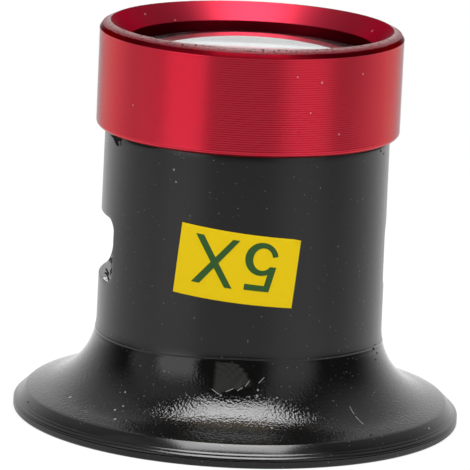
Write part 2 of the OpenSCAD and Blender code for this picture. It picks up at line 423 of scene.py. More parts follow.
# %% [markdown]
# ## Satin and scuffed skin
# The finish has to know where the tube's satin begins, which is at the parting line, and where the flare is
# scuffed. Both are written on the vertices as attributes. The scuff is an outline of directions and heights
# with faint rings round its lower left corner.

# %% Satin and scuff attributes
SATIN_FADE = 0.06
SCUFF = [(-98.4, 8.07), (-95.6, 8.0), (-90.6, 8.0), (-87.4, 7.35), (-85.0, 6.53), (-84.6, 6.03),
         (-86.0, 6.14), (-87.8, 5.87), (-89.4, 5.65), (-91.2, 5.76), (-93.6, 5.55), (-96.0, 5.24),
         (-98.8, 5.6)]
SCUFF_CORNER = SCUFF[-1]
SCUFF_RING_GAP, MM_PER_DEGREE = 0.5, 0.245

points = places(eye_cup)
satin = np.clip((points[:, 2] - parting_height(points)) / SATIN_FADE + 0.5, 0, 1)
put_attribute(eye_cup, "satin", satin)
turn = np.degrees(np.arctan2(points[:, 1], points[:, 0]))
outside = np.hypot(points[:, 0], points[:, 1]) > FLARE_CENTRE[0] - 7.1
inside = np.zeros(len(points), bool)
for (turn_a, up_a), (turn_b, up_b) in zip(SCUFF, SCUFF[1:] + SCUFF[:1]):
    crossed = (up_a > points[:, 2]) != (up_b > points[:, 2])
    edge_turn = turn_a + (points[:, 2] - up_a) / ((up_b - up_a) or 1) * (turn_b - turn_a)
    inside ^= crossed & (turn < edge_turn)
from_corner = np.hypot((turn - SCUFF_CORNER[0]) * MM_PER_DEGREE, points[:, 2] - SCUFF_CORNER[1])
wave = np.sin(from_corner * 2 * math.pi / SCUFF_RING_GAP)
rings = 0.78 + 0.22 * wave * np.clip(from_corner - 1.2, 0, 1)
put_attribute(eye_cup, "scuffed", np.where(inside & outside, rings, 0))
print("scuffed vertices:", int((inside & outside).sum()))

# %% [markdown]
# ## The lens ring
# The ring is turned from bar. Its side keeps the tool's fine feed marks, a rounded edge at the bottom, and
# at the top a narrow worn slope outside the sharp mouth. Inside are the cone of the mouth, the lip over the
# lens, the groove for the snap ring and the thread. The feed marks are real grooves here, very shallow and
# nearly alike, and give the ring its fine lines.

# %% Lens ring outline
RING_R, RING_LOW, RING_SIDE_TOP = 14.21, 27.3, 36.45
FEED, FEED_DEPTH, FEED_SHAPE = 0.21, 0.006, ((0, 0), (0.25, 0.55), (0.5, 1), (0.75, 0.55))
MOUTH_R, SIGHT_R, SEAT_R, RELIEF_R, GROOVE_R, BORE_R = 13.25, 11.38, 12.3, 13.0, 12.75, 12.5
LIP_TOP, LIP_LOW, BORE_TOP, BORE_LOW = 35.59, 34.64, 31.4, 28.5
rng = np.random.default_rng(5)
mark_count = int((RING_SIDE_TOP - RING_LOW - 0.6) / FEED)
marks = []
for i in range(mark_count):
    deep = FEED_DEPTH * rng.uniform(0.9, 1.1)
    foot = RING_LOW + 0.55 + i * FEED
    marks += [(RING_R - deep * share, foot + FEED * at) for at, share in FEED_SHAPE]
foot = rounded([(RELIEF_R, 28.0, 0), (RELIEF_R, RING_LOW, 0.05), (RING_R, RING_LOW, 0.5),
                (RING_R, 27.85, 0)], 7)
mouth = rounded([(RING_R, 36.3, 0), (RING_R, RING_SIDE_TOP, 0.06), (13.95, 36.86, 0.05),
                 (MOUTH_R, 37.2, 0.04), (SIGHT_R, LIP_TOP, 0.04), (SIGHT_R, LIP_LOW, 0.05),
                 (SEAT_R, LIP_LOW, 0.05), (SEAT_R, 33.20, 0.03), (GROOVE_R, 33.20, 0.04),
                 (GROOVE_R, 32.24, 0.04), (SEAT_R, 32.24, 0.03), (SEAT_R, 32.02, 0.03),
                 (RELIEF_R, 32.02, 0.04), (RELIEF_R, 31.52, 0.04), (BORE_R, 31.52, 0.02),
                 (BORE_R, BORE_TOP, 0)])
bore = filled([(BORE_R, BORE_TOP), (BORE_R, BORE_LOW)], 0.06)
ring_outline = joined(foot[:-1], marks, mouth, bore[1:])
lens_ring = spun("ring_shell", ring_outline)
points = places(lens_ring)
radius = np.hypot(points[:, 0], points[:, 1])
in_bore = (np.abs(radius - BORE_R) < 0.005) & (points[:, 2] < 31.45)
growth = np.where(in_bore, thread_height(points, RING_CREST, THREAD_DEPTH, *RING_TURNS), 0)
points[:, :2] *= ((radius + growth) / radius)[:, None]
put_places(lens_ring, points)
smoothed(lens_ring, 30)

# %% [markdown]
# ## The lens
# The lens is glass curved on both sides, with a ground edge and small bevels. Its section is drawn open
# from pole to pole, because the poles close on the axis when it is spun.

# %% Lens
LENS_R, LENS_FACE_R, LENS_BEVEL = 12.2, 52.3, 0.15
LENS_TOP, LENS_BOTTOM, LENS_EDGE_TOP, LENS_EDGE_BOTTOM = 35.843, 31.757, 34.40, 33.20


def lens_face(pole, side):
    """Half of one curved face, from the pole to the bevel."""
    reach = LENS_R - LENS_BEVEL
    steps = [reach * i / 24 for i in range(25)]
    return [(r, pole - side * (LENS_FACE_R - math.sqrt(LENS_FACE_R ** 2 - r * r))) for r in steps]


edge = [(LENS_R, LENS_EDGE_TOP - LENS_BEVEL), (LENS_R, LENS_EDGE_BOTTOM + LENS_BEVEL)]
lens = spun("lens_glass", lens_face(LENS_TOP, 1) + edge + lens_face(LENS_BOTTOM, -1)[::-1], closed=False)
smoothed(lens, 25)

# %% [markdown]
# ## The label
# The label is a small rectangle of film, stuck on a little askew, with one corner rolled up. A grid is bent
# round the tube by moving its vertices, and Solidify gives it the film's thickness.

# %% Label
LABEL_TURN, LABEL_Z, LABEL_LEAN, LABEL_T = -92.5, 16.9, math.radians(-5.5), 0.12
CORNERS = np.array(((-5.51, -3.33), (5.69, -3.19), (-5.50, 3.28), (5.74, 3.22)))
FOLD_FROM, FOLD_TO = np.array((4.95, 3.22)), np.array((5.74, 2.55))
CURL_R, CURL_MOST = 0.55, 2.2


def on_tube(across, up, lift):
    """Places at a point of the label's own plane, lifted off the tube, in millimetres."""
    side = across * math.cos(LABEL_LEAN) - up * math.sin(LABEL_LEAN)
    height = LABEL_Z + across * math.sin(LABEL_LEAN) + up * math.cos(LABEL_LEAN)
    radius = tube_radius(height) + lift
    turn = math.radians(LABEL_TURN) + side / tube_radius(LABEL_Z)
    return np.stack((radius * np.cos(turn), radius * np.sin(turn), height), -1)


def grid(name, columns, rows):
    """A grid whose vertices say by their places, from 0 to 1, where they belong on the piece."""
    nothing_selected()
    bpy.ops.mesh.primitive_grid_add(x_subdivisions=columns, y_subdivisions=rows, size=MM, location=(0, 0, 0))
    piece = named(name)
    return piece, places(piece)[:, 0] + 0.5, places(piece)[:, 1] + 0.5


def thickened(piece, thickness, offset, bevel=0):
    selected(piece)
    wall = piece.modifiers.new("wall", "SOLIDIFY")
    wall.thickness = thickness * MM
    wall.offset = offset
    wall.use_even_offset = True
    bpy.ops.object.modifier_apply(modifier="wall")
    if bevel:
        ease = piece.modifiers.new("ease", "BEVEL")
        ease.width = bevel * MM
        ease.segments = 2
        ease.limit_method = "ANGLE"
        ease.angle_limit = math.radians(50)
        bpy.ops.object.modifier_apply(modifier="ease")


label, u, v = grid("label_sticker", 80, 48)
low = CORNERS[0] + (CORNERS[1] - CORNERS[0]) * u[:, None]
high = CORNERS[2] + (CORNERS[3] - CORNERS[2]) * u[:, None]
flat = low + (high - low) * v[:, None]
fold = FOLD_TO - FOLD_FROM
fold_out = np.array((-fold[1], fold[0])) / np.linalg.norm(fold)
beyond = np.clip((flat - FOLD_FROM) @ fold_out, 0, None)
curl = np.clip(beyond / CURL_R, 0, CURL_MOST)
rolled = CURL_R * np.sin(curl)
raised = CURL_R * (1 - np.cos(curl))
flat += fold_out * (rolled - beyond)[:, None]
put_places(label, on_tube(flat[:, 0], flat[:, 1], raised + 0.004))
thickened(label, LABEL_T, 1, 0.03)
smoothed(label, 50)

# %% [markdown]
# ## The figure on the label
# The label says how strongly the loupe magnifies: a plain figure for five times, standing on its head. Each
# stroke is a strip of faces between two rows of points on the label, with the thin body of printed ink.

# %% Figure strokes
INK_T = 0.025
BOWL_OUT, BOWL_OUT_R = np.array((2.30, 1.12)), np.array((1.52, 1.545))
BOWL_IN, BOWL_IN_R = np.array((2.40, 1.11)), np.array((0.90, 1.05))


def stroke(name, left, right, lift=0.0):
    """An ink stroke between two rows of points in the label's plane."""
    count = len(left) - 1
    run, width = left[1] - left[0], right[0] - left[0]
    if run[0] * width[1] < run[1] * width[0]:
        left, right = right, left
    piece, u, v = grid(name, count, 2)
    at = np.rint(u * count).astype(int)
    flat = np.array(left)[at] * (1 - v)[:, None] + np.array(right)[at] * v[:, None]
    put_places(piece, on_tube(flat[:, 0], flat[:, 1], LABEL_T + 0.002 + lift))
    thickened(piece, INK_T, 1)
    return piece


def row(start, end, count=16):
    return [np.array(start) + (np.array(end) - np.array(start)) * i / count for i in range(count + 1)]


bowl = [np.array((math.cos(a), math.sin(a))) for a in np.radians(np.linspace(14, 325, 64))]
bowl_outside = [BOWL_OUT + BOWL_OUT_R * way for way in bowl]
bowl_inside = [BOWL_IN + BOWL_IN_R * way for way in bowl]
strokes = [
    stroke("figure_bowl", bowl_outside, bowl_inside),
    stroke("figure_stem", row((3.12, 0.48), (2.70, -1.87)), row((3.71, 0.47), (3.29, -1.87)), 0.002),
    stroke("figure_bar", row((1.01, -1.32), (2.85, -1.33)), row((1.00, -1.88), (2.95, -1.87)), 0.001),
    stroke("figure_cross_a", row((-4.00, 2.58), (-0.75, -1.97)), row((-3.24, 2.58), (-0.05, -1.97))),
    stroke("figure_cross_b", row((-3.87, -1.95), (-0.54, 2.57)), row((-3.10, -1.95), (0.11, 2.57)), 0.002),
]
figure = merged("label_figure", strokes)
faced_out(figure)
smoothed(figure, 50)
print("figure:", len(figure.data.polygons), "faces")

# %% [markdown]
# ## Burrs in the left vent
# A few thin curls of plastic were left at the left vent's lower front corner. Each is a narrow strip whose
# rows are placed along a curl, with wavy edges. Seeded random numbers give its place, length, width and
# bend.

# %% Vent burrs
BURR_COUNT, BURR_TURNS, BURR_LOW = 9, (-164.5, -154), 12.95
rng = np.random.default_rng(11)


def burr(index):
    piece, u, v = grid("burr_%d" % index, 14, 3)
    turn = math.radians(rng.uniform(*BURR_TURNS))
    root = np.array((math.cos(turn), math.sin(turn), 0)) * (tube_radius(14) - rng.uniform(0.1, 0.9))
    root[2] = BURR_LOW + rng.uniform(0.2, 0.9)
    side = np.array((-math.sin(turn), math.cos(turn), 0))
    outward = np.array((math.cos(turn), math.sin(turn), 0))
    length = rng.uniform(0.9, 2.0)
    width = rng.uniform(0.12, 0.4)
    bend = rng.uniform(1.0, 4.0) * rng.choice((-1, 1))
    lean = rng.uniform(-0.8, 0.8)
    along = length * np.sin(bend * u) / bend
    away = length * (1 - np.cos(bend * u)) / bend * 0.5
    wide = width * (1 - 0.8 * u ** 2) * (v - 0.5) * (1 + 0.4 * np.sin(9 * u + rng.uniform(0, 6)))
    up = np.array((0, 0, 1)) * math.cos(lean) + side * math.sin(lean)
    flat = np.cross(up, outward)
    body = root + along[:, None] * up + away[:, None] * outward * 0.5 + wide[:, None] * flat
    put_places(piece, body)
    thickened(piece, 0.05, 0)
    return piece


burrs = merged("vent_burrs", [burr(index) for index in range(BURR_COUNT)])
smoothed(burrs, 40)

# %% [markdown]
# ## Torn plastic and painted gap shade under the ring
# A hook of torn plastic hangs below the ring on the left, and black nubs sit here and there on the skin. Dull
# black strips in the corner between tube and ring, on the left and on the right, are painted shade of the gap
# there. Strips are laid on the tube a hair proud of it, and each nub is a small ball pressed flat.

# %% Places on the skin
FLARE_DROP, CHAMFER_WIDENS = 6.676, 1.045


def on_skin(turn, height):
    """A place on the cup's outer skin, in millimetres, from its direction in degrees and its height."""
    drop = FLARE_CENTRE[1] - height
    radius = tube_radius(height)
    if drop > 0:
        radius = FLARE_CENTRE[0] - math.sqrt(FLARE_R ** 2 - min(drop, FLARE_DROP) ** 2)
    if height < BRIM_TOP[1]:
        radius = BRIM_TOP[0] + (BRIM_TOP[1] - height) / math.tan(math.radians(BRIM_SLOPE))
    if height < RIDGE[1]:
        radius = RIDGE[0] + (RIDGE[1] - height) * CHAMFER_WIDENS
    a = math.radians(turn)
    return (radius * math.cos(a), radius * math.sin(a), height)


# %% [markdown]
# ## Making the shade strips, the hook and the nubs
# Each strip of painted gap shade and the hook is a grid whose vertices are laid in place and then thickened.
# The hook hangs half way between the tube and the plane it was seen in, so that it and its reflection in the
# tube lie close. In the end all the bits are joined as one piece.

# %% Torn plastic and painted gap shade
GAP_SHADE_STRIPS = [((-147.5, 27.25), (-127, 27.25), 0.36), ((-43, 27.25), (-14, 27.25), 0.34)]
NUBS = [(-21.6, 26.7, 0.12), (-17.8, 26.3, 0.1), (-20.6, 7.82, 0.13), (-17.8, 7.29, 0.12), (-20.8, 6.82, 0.1),
        (-19.0, 8.13, 0.09), (-162.6, 1.51, 0.11), (-49.8, 2.09, 0.1)]
HOOK_Y = -6.45
HOOK = [(-12.56, -12.1, 27.18), (-12.56, -11.84, 27.08), (-12.38, -11.66, 26.99), (-12.29, -11.66, 26.9),
        (-12.29, -11.84, 26.81), (-12.2, -11.89, 26.72), (-12.2, -11.89, 26.62), (-12.11, -11.84, 26.53),
        (-12.07, -11.8, 26.44), (-12.02, -11.8, 26.34)]


def laid(turn, height, lift):
    radius = tube_radius(height) + lift
    turn = np.radians(turn)
    return np.stack((radius * np.cos(turn), radius * np.sin(turn), height), -1)


bits = []
# Painted shade: dull black strips hang from the shoulder into the gap under the ring, left and right.
for index, (start, end, deep) in enumerate(GAP_SHADE_STRIPS):
    piece, u, v = grid("flash_%d" % index, 40, 3)
    ragged = 0.85 + 0.1 * np.sin(9 * u + index) + 0.05 * np.sin(41 * u)
    low = start[1] - deep * np.clip(np.sin(math.pi * u), 0, 1) ** 0.5 * ragged
    height = start[1] + (low - start[1]) * (1 - v)
    put_places(piece, laid(start[0] + (end[0] - start[0]) * u, height, 0.03))
    thickened(piece, 0.05, 1)
    bits.append(piece)
piece, u, v = grid("hook", 8, 27)
left, right, up = (np.interp(1 - v, np.linspace(0, 1, len(HOOK)), values) for values in zip(*HOOK))
across = left + (right - left) * u
towards = (HOOK_Y - np.sqrt(tube_radius(up) ** 2 - across ** 2)) / 2 - 0.05
put_places(piece, np.stack((across, towards, up), -1))
thickened(piece, 0.06, 1)
bits.append(piece)
for turn_at, up_at, size in NUBS:
    nothing_selected()
    spot = Vector(on_skin(turn_at, up_at)) * MM
    bpy.ops.mesh.primitive_ico_sphere_add(subdivisions=2, radius=size * MM, location=(0, 0, 0))
    nub = named("nub")
    shape = places(nub)
    outward = np.array((math.cos(math.radians(turn_at)), math.sin(math.radians(turn_at)), 0))
    shape -= 0.6 * (shape @ outward)[:, None] * outward
    put_places(nub, shape + np.array(spot) / MM)
    bits.append(nub)
flash_and_gap_shade = merged("torn_flash_and_gap_shade", bits)
faced_out(flash_and_gap_shade)
smoothed(flash_and_gap_shade, 40)
print("torn flash:", len(flash_and_gap_shade.data.polygons), "faces")

# %% [markdown]
# ## Building a finish
# Each finish is a small graph of nodes. These helpers add nodes with their settings and inputs in one line,
# so that the graphs below read like recipes. Patterns read Object coordinates, which are the piece's own
# place in metres, so a grain of a tenth of a millimetre has a scale of about ten thousand.

# %% Node helpers
def fed(tree, taker, inputs):
    """Gives a node its inputs, which are values or other nodes' outputs."""
    for name, value in inputs.items():
        if isinstance(value, bpy.types.NodeSocket):
            tree.links.new(value, taker.inputs[name])
        else:
            taker.inputs[name].default_value = value


def node(tree, kind, inputs=None, **settings):
    """A new node of the kind, with its settings and its inputs."""
    made = tree.nodes.new("ShaderNode" + kind)
    for name, value in settings.items():
        setattr(made, name, value)
    fed(tree, made, inputs or {})
    return made


def cleared(owner):
    """The emptied graph of a material or a world."""
    owner.use_nodes = True
    owner.node_tree.nodes.clear()
    return owner.node_tree


def finish(name):
    """A new material with its graph, its shader and the Object coordinates."""
    made = bpy.data.materials.new(name)
    tree = cleared(made)
    skin = node(tree, "BsdfPrincipled")
    end = node(tree, "OutputMaterial")
    tree.links.new(skin.outputs[0], end.inputs[0])
    place = node(tree, "TexCoord").outputs["Object"]
    return made, tree, skin, place


def ramp(tree, value, low, high, start=0.0, end=1.0):
    """The value, mapped smoothly from low..high to start..end."""
    inputs = {"Value": value, "From Min": low, "From Max": high, "To Min": start, "To Max": end}
    return node(tree, "MapRange", inputs, interpolation_type="SMOOTHSTEP").outputs[0]


def noise(tree, place, scale, detail=2.0, roughness=0.5):
    inputs = {"Vector": place, "Scale": scale, "Detail": detail, "Roughness": roughness}
    return node(tree, "TexNoise", inputs).outputs[0]


def maths(tree, operation, *values):
    return node(tree, "Math", dict(enumerate(values)), operation=operation).outputs[0]


def times(tree, first, second):
    return maths(tree, "MULTIPLY", first, second)


def plus(tree, first, second):
    return maths(tree, "ADD", first, second)


def from_axis(tree, place):
    """How far a place lies from the axis."""
    flat = node(tree, "VectorMath", {0: place, 1: (1, 1, 0)}, operation="MULTIPLY").outputs[0]
    return node(tree, "VectorMath", {0: flat}, operation="LENGTH").outputs["Value"]


def colour_mix(tree, share, first, second):
    return node(tree, "Mix", {0: share, 6: first, 7: second}, data_type="RGBA").outputs[2]


def painted(tree, skin, share, first, second):
    """Mixes two colours by the share, as the skin's base colour."""
    tree.links.new(colour_mix(tree, share, first + (1,), second + (1,)), skin.inputs["Base Color"])


def near_spots(tree, place, spots):
    """One on the spots, which are (place, radius) in millimetres, and nothing beyond them."""
    nearest = 9.0
    for spot, radius in spots:
        ends = {0: place, 1: Vector(spot) * MM}
        away = node(tree, "VectorMath", ends, operation="DISTANCE").outputs["Value"]
        nearest = maths(tree, "MINIMUM", nearest, maths(tree, "DIVIDE", away, radius * MM))
    return ramp(tree, nearest, 0.7, 1.2, 1.0, 0.0)


def near_lines(tree, place, lines, half):
    """One on straight scratches, each from one place to another, and nothing beyond half their width."""
    nearest = 9.0
    for start, end in lines:
        start, way = Vector(start) * MM, (Vector(end) - Vector(start)) * MM
        off = node(tree, "VectorMath", {0: place, 1: start}, operation="SUBTRACT").outputs[0]
        unit = way / way.length_squared
        share = node(tree, "VectorMath", {0: off, 1: unit}, operation="DOT_PRODUCT").outputs["Value"]
        share = node(tree, "Clamp", {"Value": share}).outputs[0]
        foot = node(tree, "VectorMath", {0: way, "Scale": share}, operation="SCALE").outputs[0]
        away = node(tree, "VectorMath", {0: off, 1: foot}, operation="DISTANCE").outputs["Value"]
        nearest = maths(tree, "MINIMUM", nearest, away)
    return ramp(tree, nearest, half * 0.6 * MM, half * 1.3 * MM, 1.0, 0.0)


def bumped(tree, skin, *layers):
    """Bumps on the skin from (height, distance in millimetres) layers."""
    normal = None
    for height, distance in layers:
        inputs = {"Height": height, "Distance": distance * MM, "Strength": 1.0}
        if normal:
            inputs["Normal"] = normal
        normal = node(tree, "Bump", inputs).outputs[0]
    tree.links.new(normal, skin.inputs["Normal"])


# %% [markdown]
# ## Black plastic
# The mould left the tube satin and the flare glossy, which the "satin" attribute says. The gloss has a fine
# orange peel that breaks highlights into grains and fades towards the tube and below the ridge. Fine dust
# is a mask of noise. The larger specks and scratches lie where the photograph shows them, the scuff comes
# from its attribute, and the left vent's lower front corner is whitened where the plastic tore.

# %% Marks on the black plastic
SPECKS = [(-119.6, 25.4, 0.11), (-118.4, 24.3, 0.09), (-151.6, 2.76, 0.15), (-130.2, 2.95, 0.12),
          (-131.6, 4.28, 0.1), (-128.6, 3.3, 0.1), (-127.0, 2.46, 0.13), (-27.0, 1.56, 0.1),
          (-78.6, 2.89, 0.12), (-82.0, 5.71, 0.1), (-82.4, 5.24, 0.13), (-95.4, 5.14, 0.1),
          (-85.2, 5.14, 0.09), (-75.2, 5.08, 0.08)]
SCRATCHES = [((-98.8, 5.6), (-96.2, 5.24)), ((-93.6, 5.5), (-91.2, 5.76)), ((-89.5, 5.62), (-87.8, 5.87)),
             ((-86.6, 6.0), (-85.2, 6.45)), ((-81.6, 6.31), (-79.6, 6.76)), ((-48.0, 3.9), (-48.2, 3.37)),
             ((-48.2, 3.2), (-48.0, 2.68))]
SCRATCH_HALF = 0.04
speck_spots = [(on_skin(turn_at, up_at), size) for turn_at, up_at, size in SPECKS]
scratch_lines = [(on_skin(*start), on_skin(*end)) for start, end in SCRATCHES]
print("marks:", len(speck_spots), "specks and", len(scratch_lines), "scratches")

# %% [markdown]
# ## The black finish
# One graph serves the whole moulding. Colour, roughness and bump each take their share from the satin and
# scuff attributes and from the height on the piece.

# %% Black plastic finish
black, tree, skin, place = finish("black_plastic_moulded")
satin = node(tree, "Attribute", attribute_name="satin").outputs["Fac"]
side, front, height = node(tree, "SeparateXYZ", {"Vector": place}).outputs
grain = noise(tree, place, 4600, 1.5)
coarse = ramp(tree, height, 0.0045, 0.0078, 1.0, 0.2)
coarse = times(tree, coarse, ramp(tree, height, 0.00192, 0.00205, 0.06, 1.0))
erosion = noise(tree, place, 11000, 3)
specks = ramp(tree, noise(tree, place, 5200, 0), 0.815, 0.835)
faint = times(tree, specks, 0.35)
dusty = colour_mix(tree, faint, (0.0045, 0.0043, 0.0042, 1), (0.3, 0.3, 0.29, 1))
scuffed = node(tree, "Attribute", attribute_name="scuffed").outputs["Fac"]
dusty = colour_mix(tree, scuffed, dusty, (0.036, 0.036, 0.034, 1))
marks = near_spots(tree, place, speck_spots)
marks = maths(tree, "MAXIMUM", marks, near_lines(tree, place, scratch_lines, SCRATCH_HALF))
dusty = colour_mix(tree, times(tree, marks, 0.8), dusty, (0.3, 0.3, 0.29, 1))
reach = from_axis(tree, place)
torn = ramp(tree, reach, 0.0122, 0.0123)
for limit in (ramp(tree, reach, 0.01334, 0.01338, 1.0, 0.0), ramp(tree, height, 0.0141, 0.0144, 1.0, 0.0),
              ramp(tree, side, -0.0105, -0.0104, 1.0, 0.0), ramp(tree, height, 0.0128, 0.0129),
              ramp(tree, front, -0.0031, -0.0029, 1.0, 0.0)):
    torn = times(tree, torn, limit)
tears = ramp(tree, noise(tree, place, 2100, 3, 0.6), 0.47, 0.52)
whitened = colour_mix(tree, tears, (0.62, 0.62, 0.6, 1), (0.004, 0.004, 0.004, 1))
dusty = colour_mix(tree, torn, dusty, whitened)
rough = plus(tree, times(tree, satin, 0.2), 0.05)
cloudy = maths(tree, "SUBTRACT", noise(tree, place, 900, 4), 0.5)
rough = plus(tree, rough, times(tree, cloudy, 0.03))
rough = plus(tree, rough, ramp(tree, height, 0.00192, 0.00205, 0.12, 0.0))
fed(tree, skin, {"Base Color": dusty, "Roughness": rough, "IOR": 1.58})
gloss = times(tree, maths(tree, "SUBTRACT", 1.0, satin), coarse)
peel = times(tree, grain, gloss)
etched = times(tree, erosion, satin)
bumped(tree, skin, (peel, 0.035), (etched, 0.006))
print("finish:", black.name)

# %% [markdown]
# ## The torn plastic and the gap shade
# Burrs, the hook and the nubs are of the same black, but torn and not moulded. They are rougher, hardly shine
# and have a fine crumb. The strips in the gap under the ring take the same dull black as painted shade.

# %% Torn plastic and gap shade finish
# This dull black also serves the strips of painted gap shade under the ring.
torn_black_and_gap_shade, tree, skin, place = finish("black_plastic_torn_and_gap_shade")
crumb = noise(tree, place, 6000, 3)
painted(tree, skin, crumb, (0.002, 0.002, 0.002), (0.008, 0.008, 0.008))
rough = plus(tree, times(tree, crumb, 0.2), 0.4)
fed(tree, skin, {"Roughness": rough, "Specular IOR Level": 0.12})
bumped(tree, skin, (crumb, 0.01))
print("finish:", torn_black_and_gap_shade.name)

# %% [markdown]
# ## Red anodised aluminium
# Anodising is a clear dyed layer over metal: a metallic red, with a gloss coat in fine bands, one to each
# turn of the tool. The tool's marks run round the ring, so the shine is stretched along the axis. The
# tangent goes round the ring, and a quarter turn of the anisotropy sets the stretch across it. On the worn
# top edge the dye has thinned to a dull pinkish grey with dark pits. A few specks of dust lie where the
# photograph shows them.

# %% Red anodised finish
DUST = [((6.51, -12.63, 34.26), 0.1), ((8.30, -11.53, 29.37), 0.1), ((10.26, -9.83, 34.72), 0.09),
        ((5.61, -13.06, 31.50), 0.07), ((4.27, -13.55, 34.84), 0.07), ((-10.60, -9.46, 30.81), 0.08),
        ((-10.19, 7.13, 36.50), 0.12), ((-7.36, 8.93, 35.76), 0.1), ((11.27, 4.67, 36.29), 0.12)]
red, tree, skin, place = finish("red_anodised_turned")
height = node(tree, "SeparateXYZ", {"Vector": place}).outputs[2]
reach = from_axis(tree, place)
cloud = noise(tree, place, 900, 3)
blotch = noise(tree, place, 1400, 5, 0.65)
nibble = maths(tree, "SUBTRACT", noise(tree, place, 2600, 4, 0.7), 0.5)
nibble = times(tree, nibble, 0.0004)
outer = ramp(tree, reach, 0.01319, 0.01323)
above = ramp(tree, plus(tree, height, nibble), 0.03682, 0.03688)
rubbed = times(tree, outer, above)
mottled = ramp(tree, noise(tree, place, 5200, 3, 0.6), 0.4, 0.58)
edge = plus(tree, height, times(tree, mottled, 0.00012))
bare = colour_mix(tree, ramp(tree, edge, 0.03694, 0.03724), (0.2, 0.012, 0.022, 1), (0.36, 0.22, 0.215, 1))
pits = ramp(tree, noise(tree, place, 5200, 2), 0.53, 0.6)
bare = colour_mix(tree, pits, bare, (0.07, 0.008, 0.012, 1))
# Painted shade: inside the ring, the wall under the cone and all below it get a much darker red.
well_shade = ramp(tree, height, 0.03555, 0.03566, 1.0, 0.0)
dye = colour_mix(tree, cloud, (0.84, 0.005, 0.036, 1), (0.89, 0.007, 0.043, 1))
# The cone gets a darker red than the side, painted shade that dims its highlight; below it the painted shade
# of the wall takes over.
inner_dye_and_shade = colour_mix(tree, well_shade, (0.57, 0.033, 0.064, 1), (0.13, 0.002, 0.008, 1))
# Painted shade: the rounded top corner and the slope above the side get a dark red.
dye = colour_mix(tree, ramp(tree, height, 0.03640, 0.03652), dye, (0.24, 0.004, 0.012, 1))
dye = colour_mix(tree, outer, inner_dye_and_shade, dye)
dust = near_spots(tree, place, DUST)
dye = colour_mix(tree, times(tree, dust, 0.7), dye, (0.95, 0.6, 0.62, 1))
dye = colour_mix(tree, rubbed, dye, bare)
shine = plus(tree, times(tree, cloud, 0.02), 0.27)
shine = plus(tree, shine, times(tree, maths(tree, "SUBTRACT", 1.0, outer), 0.2))
shine = plus(tree, shine, times(tree, rubbed, 0.2))
metal = ramp(tree, rubbed, 0.0, 1.0, 1.0, 0.2)
fed(tree, skin, {"Base Color": dye, "Roughness": shine, "Metallic": metal})
crest = maths(tree, "SINE", times(tree, height, 2 * math.pi / (FEED * MM)))
on_side = ramp(tree, height, 0.03640, 0.03646, 1.0, 0.0)
clear = times(tree, times(tree, outer, on_side), ramp(tree, crest, -0.2, 0.2))
fed(tree, skin, {"Coat Weight": clear, "Coat IOR": 1.7, "Coat Roughness": 0.1})
around = node(tree, "Tangent", direction_type="RADIAL", axis="Z").outputs[0]
fed(tree, skin, {"Anisotropic": 0.7, "Anisotropic Rotation": 0.25, "Tangent": around})
fed(tree, skin, {"Specular Tint": (0.3, 0.3, 0.32, 1)})
bumped(tree, skin, (times(tree, blotch, rubbed), 0.03))
print("finish:", red.name)

# %% [markdown]
# ## The glass
# The lens is coated glass. A trace of dust dulls it in spots, which a mask of noise in the roughness gives.

# %% Glass finish
glass, tree, skin, place = finish("lens_glass_polished")
dust = ramp(tree, noise(tree, place, 2600, 1), 0.74, 0.8)
fed(tree, skin, {"Base Color": (0.93, 0.96, 0.97, 1), "Roughness": times(tree, dust, 0.3)})
fed(tree, skin, {"IOR": 1.52, "Transmission Weight": 1.0, "Coat Weight": 0.7})
print("finish:", glass.name)

# %% [markdown]
# ## The wire
# The snap ring is spring wire. Drawing leaves fine streaks, for which a noise is stretched in the ring's
# plane.

# %% Wire finish
steel, tree, skin, place = finish("spring_wire_drawn")
stretched = node(tree, "Mapping", {"Vector": place, "Scale": (0.1, 0.1, 1.0)}).outputs[0]
drawn = noise(tree, stretched, 12000, 2)
painted(tree, skin, drawn, (0.38, 0.38, 0.39), (0.52, 0.52, 0.53))
fed(tree, skin, {"Roughness": plus(tree, times(tree, drawn, 0.15), 0.22), "Metallic": 1.0})
print("finish:", steel.name)

# %% [markdown]
# ## Film and ink
# The label is a matt yellow film, and its figure a dark green ink. Both shine little, as printed film does.

# %% Film and ink finishes
film, tree, skin, place = finish("label_film_yellow")
mottle = noise(tree, place, 1500, 4)
painted(tree, skin, mottle, (0.85, 0.595, 0.002), (0.89, 0.625, 0.003))
fed(tree, skin, {"Roughness": 0.5, "Specular IOR Level": 0.12})
bumped(tree, skin, (mottle, 0.004))

ink, tree, skin, place = finish("label_ink_green")
cover = noise(tree, place, 6000, 3)
painted(tree, skin, cover, (0.022, 0.085, 0.018), (0.045, 0.13, 0.03))
fed(tree, skin, {"Roughness": 0.5, "Specular IOR Level": 0.2})
bumped(tree, skin, (cover, 0.004))
print("finishes:", film.name, "and", ink.name)

# %% [markdown]
# ## Putting the finishes on and joining the pieces to their bodies
# The cup, ring, lens and label each stand for their CAD solid and move with the same body. The burrs, the
# torn bits with the painted gap shade, and the figure are extra and ride on the cup. The snap ring is right
# as it is, so it only gets its finish.

# %% Finishes and bodies
def fitted(piece, body, slot, material, *stands_for):
    piece.data.materials.clear()
    piece.data.materials.append(material)
    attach(piece, body)
    if stands_for:
        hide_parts(*stands_for)


fitted(eye_cup, "cup_body", "black_plastic", black, "eye_cup")
fitted(burrs, "cup_body", "black_plastic", torn_black_and_gap_shade)
# The torn bits include the strips of painted gap shade.
fitted(flash_and_gap_shade, "cup_body", "black_plastic", torn_black_and_gap_shade)
fitted(lens_ring, "ring_body", "red_anodised", red, "lens_ring")
fitted(lens, "lens_carrier", "lens_glass", glass, "lens")
fitted(label, "cup_body", "label_film", film, "label")
fitted(figure, "cup_body", "label_film", ink)
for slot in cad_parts["snap_ring"].material_slots:
    slot.material = steel

